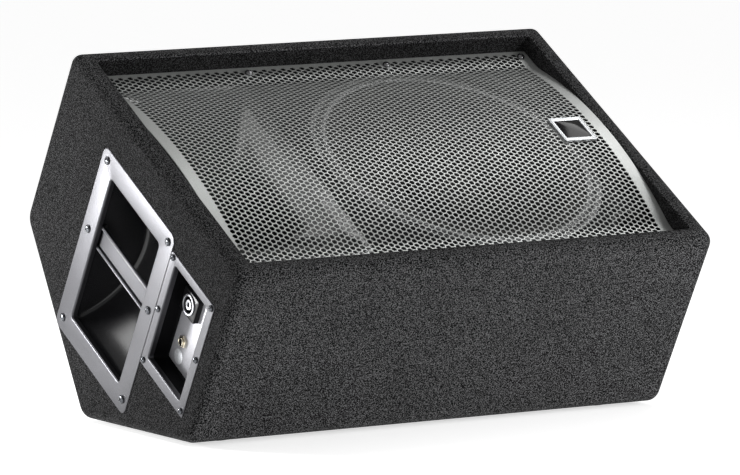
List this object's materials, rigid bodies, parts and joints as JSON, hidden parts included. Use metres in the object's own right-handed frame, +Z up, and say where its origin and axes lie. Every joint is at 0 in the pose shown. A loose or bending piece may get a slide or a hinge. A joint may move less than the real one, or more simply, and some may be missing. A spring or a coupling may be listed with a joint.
{
  "type": "stage monitor wedge",
  "caption": "Floor monitor loudspeaker: carpeted pentagonal cabinet with a sloped grille, a woofer and horn, a recessed bar handle and a recessed input panel.",
  "frame": {"origin": "centre of the whole part's box, at the height of the feet's undersides", "axes": "+X along the cabinet's width, from the side with the handle to the plain side; +Y from the low edge of the grille to the high edge; +Z up"},
  "size_m": [0.5624, 0.434, 0.3742],
  "materials": {
    "plywood": "plain plywood, painted nowhere, under the carpet",
    "black_paint": "flat black paint on plywood",
    "carpet": "fuzzy charcoal needle-punched carpet",
    "grille_steel": "satin dark grey powder coat on perforated steel",
    "black_screws": "black oxide",
    "badge_metal": "bright plated edge",
    "badge_black": "gloss black",
    "textured_grey_steel": "fine-textured light grey powder coat",
    "black_plastic": "satin to gloss black moulding",
    "plate_screws": "dark nickel-plated pan heads",
    "socket_plastic": "satin black moulding with a pale inner ring",
    "nickel": "bright nickel plate",
    "black_steel": "black coat on pressed steel",
    "ferrite": "bare dark ferrite",
    "zinc_steel": "zinc plate",
    "cone_paper": "dark ribbed paper pulp",
    "treated_cloth": "doped cloth",
    "horn_plastic": "satin black moulding",
    "diaphragm": "thin polished metal",
    "port_plastic": "black tube",
    "foot_rubber": "black rubber",
    "circuit_board": "brown laminate",
    "copper_winding": "enamelled copper wire",
    "capacitor_film": "yellow film wrap",
    "wire_jacket": "black jacket"
  },
  "bodies": {
    "cabinet": {"side_panel_left": "plywood", "side_panel_right": "plywood", "front_panel": "plywood", "bottom_panel": "plywood", "lower_rear_panel": "plywood", "upper_rear_panel": "plywood", "baffle_board": "black_paint", "carpet_cover": "carpet", "grille": "grille_steel", "badge_frame": "badge_metal", "badge_face": "badge_black", "grille_screw_front_1": "black_screws", "grille_screw_front_2": "black_screws", "grille_screw_front_3": "black_screws", "grille_screw_front_4": "black_screws", "grille_screw_rear_1": "black_screws", "grille_screw_rear_2": "black_screws", "grille_screw_rear_3": "black_screws", "grille_screw_rear_4": "black_screws", "handle_plate": "textured_grey_steel", "handle_pan": "black_plastic", "handle_bar": "textured_grey_steel", "handle_screw_top_front": "plate_screws", "handle_screw_top_rear": "plate_screws", "handle_screw_middle_front": "plate_screws", "handle_screw_middle_rear": "plate_screws", "handle_screw_bottom_front": "plate_screws", "handle_screw_bottom_rear": "plate_screws", "input_plate": "textured_grey_steel", "input_dish": "black_plastic", "input_screw_top_front": "plate_screws", "input_screw_top_rear": "plate_screws", "input_screw_middle_front": "plate_screws", "input_screw_middle_rear": "plate_screws", "input_screw_bottom_front": "plate_screws", "input_screw_bottom_rear": "plate_screws", "speaker_socket": "socket_plastic", "jack_socket": "nickel", "woofer_basket": "black_steel", "woofer_magnet": "ferrite", "woofer_yoke": "zinc_steel", "woofer_surround": "treated_cloth", "woofer_spider": "treated_cloth", "horn": "horn_plastic", "driver_housing": "black_steel", "port_tube_front": "port_plastic", "port_tube_rear": "port_plastic", "foot_front_left": "foot_rubber", "foot_front_right": "foot_rubber", "foot_rear_left": "foot_rubber", "foot_rear_right": "foot_rubber", "crossover_board": "circuit_board", "crossover_inductor": "copper_winding", "crossover_capacitor": "capacitor_film", "input_lead": "wire_jacket", "woofer_lead": "wire_jacket", "driver_lead": "wire_jacket"},
    "woofer_motion": {"woofer_cone": "cone_paper", "woofer_dust_cap": "cone_paper"},
    "driver_motion": {"driver_diaphragm": "diaphragm"}
  },
  "joints": [
    {"name": "cone_travel", "type": "slide", "parent": "cabinet", "child": "woofer_motion", "axis": [0, -0.5, 0.866], "range_m": [-0.006, 0.006], "stiffness_N_per_m": 3300, "deforming": ["woofer_surround", "woofer_spider"]},
    {"name": "diaphragm_travel", "type": "slide", "parent": "cabinet", "child": "driver_motion", "axis": [0, -0.5, 0.866], "range_m": [-0.0005, 0.0005], "stiffness_N_per_m": 2000}
  ]
}
